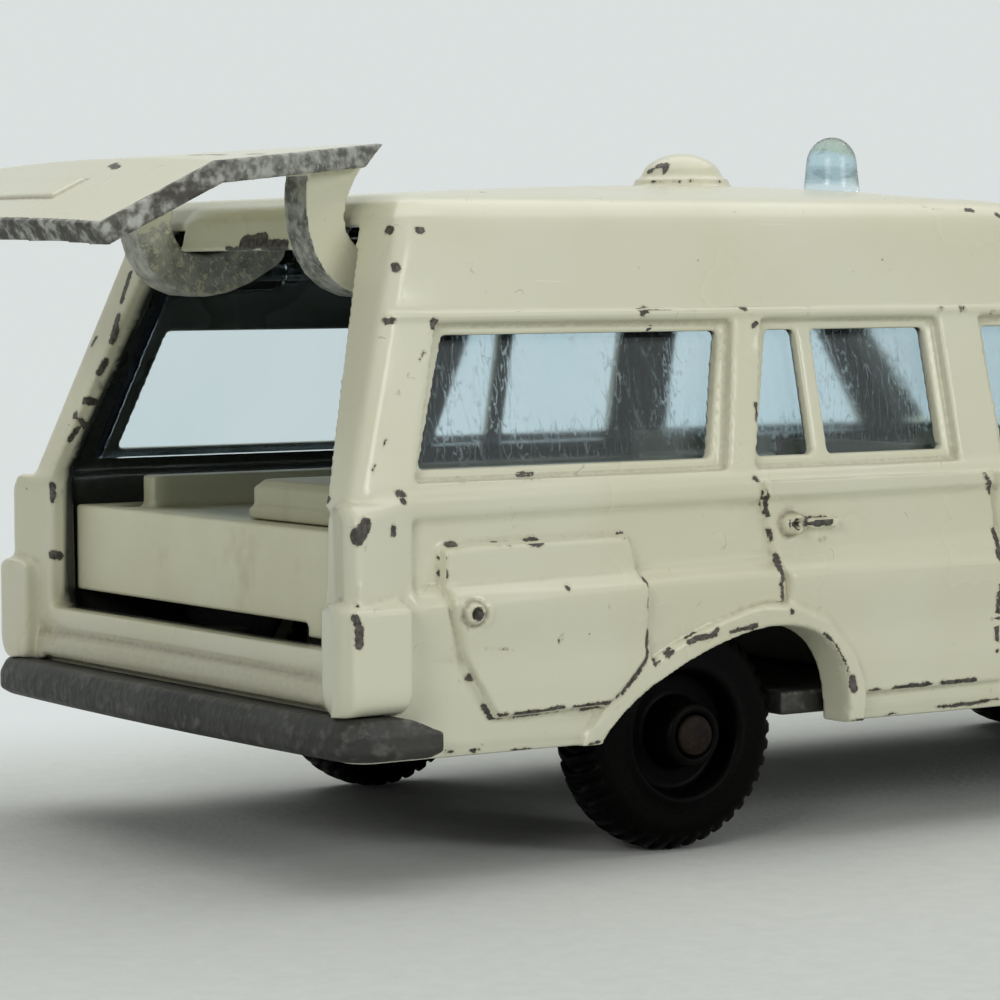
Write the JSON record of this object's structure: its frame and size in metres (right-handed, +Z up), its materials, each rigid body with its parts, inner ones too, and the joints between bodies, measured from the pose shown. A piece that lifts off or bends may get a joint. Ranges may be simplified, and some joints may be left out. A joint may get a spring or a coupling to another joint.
{
  "type": "toy ambulance",
  "caption": "Toy estate ambulance with a raised roof, blue glazing and beacon, spinning wheels, a tailgate that swings up on goose-neck arms and a stretcher that slides out.",
  "frame": {"origin": "on the ground, at the middle of the whole length (open tailgate to front bumper) and of the width", "axes": "+X towards the nose, +Y towards the car's left side, +Z up"},
  "size_m": [0.0812, 0.0316, 0.0306],
  "materials": {
    "enamel": "gloss, chipped",
    "zinc": "worn bare casting",
    "blue_plastic": "clear, scratched",
    "white_plastic": "satin",
    "axle_steel": "rusty",
    "black_plastic": "satin"
  },
  "bodies": {
    "car": {"body_shell": "enamel", "base_plate": "zinc", "glazing": "blue_plastic", "interior": "white_plastic"},
    "tailgate": {"tailgate": "enamel"},
    "stretcher": {"stretcher": "white_plastic"},
    "front_axle": {"front_axle": "axle_steel"},
    "rear_axle": {"rear_axle": "axle_steel"},
    "wheel_front_left": {"wheel_front_left": "black_plastic"},
    "wheel_front_right": {"wheel_front_right": "black_plastic"},
    "wheel_rear_left": {"wheel_rear_left": "black_plastic"},
    "wheel_rear_right": {"wheel_rear_right": "black_plastic"}
  },
  "joints": [
    {"name": "tailgate_hinge", "type": "hinge", "parent": "car", "child": "tailgate", "pos_m": [-0.02264, 0, 0.0255], "axis": [0, 1, 0], "range_deg": [-65, 0]},
    {"name": "stretcher_slide", "type": "slide", "parent": "car", "child": "stretcher", "axis": [-1, 0, 0], "range_m": [0, 0.03]},
    {"name": "front_axle_spin", "type": "hinge", "parent": "car", "child": "front_axle", "pos_m": [0.02646, 0, 0.005], "axis": [0, 1, 0], "continuous": true},
    {"name": "rear_axle_spin", "type": "hinge", "parent": "car", "child": "rear_axle", "pos_m": [-0.01404, 0, 0.005], "axis": [0, 1, 0], "continuous": true},
    {"name": "wheel_front_left_spin", "type": "hinge", "parent": "front_axle", "child": "wheel_front_left", "pos_m": [0.02646, 0.0117, 0.005], "axis": [0, 1, 0], "continuous": true},
    {"name": "wheel_front_right_spin", "type": "hinge", "parent": "front_axle", "child": "wheel_front_right", "pos_m": [0.02646, -0.0117, 0.005], "axis": [0, 1, 0], "continuous": true},
    {"name": "wheel_rear_left_spin", "type": "hinge", "parent": "rear_axle", "child": "wheel_rear_left", "pos_m": [-0.01404, 0.0117, 0.005], "axis": [0, 1, 0], "continuous": true},
    {"name": "wheel_rear_right_spin", "type": "hinge", "parent": "rear_axle", "child": "wheel_rear_right", "pos_m": [-0.01404, -0.0117, 0.005], "axis": [0, 1, 0], "continuous": true}
  ]
}
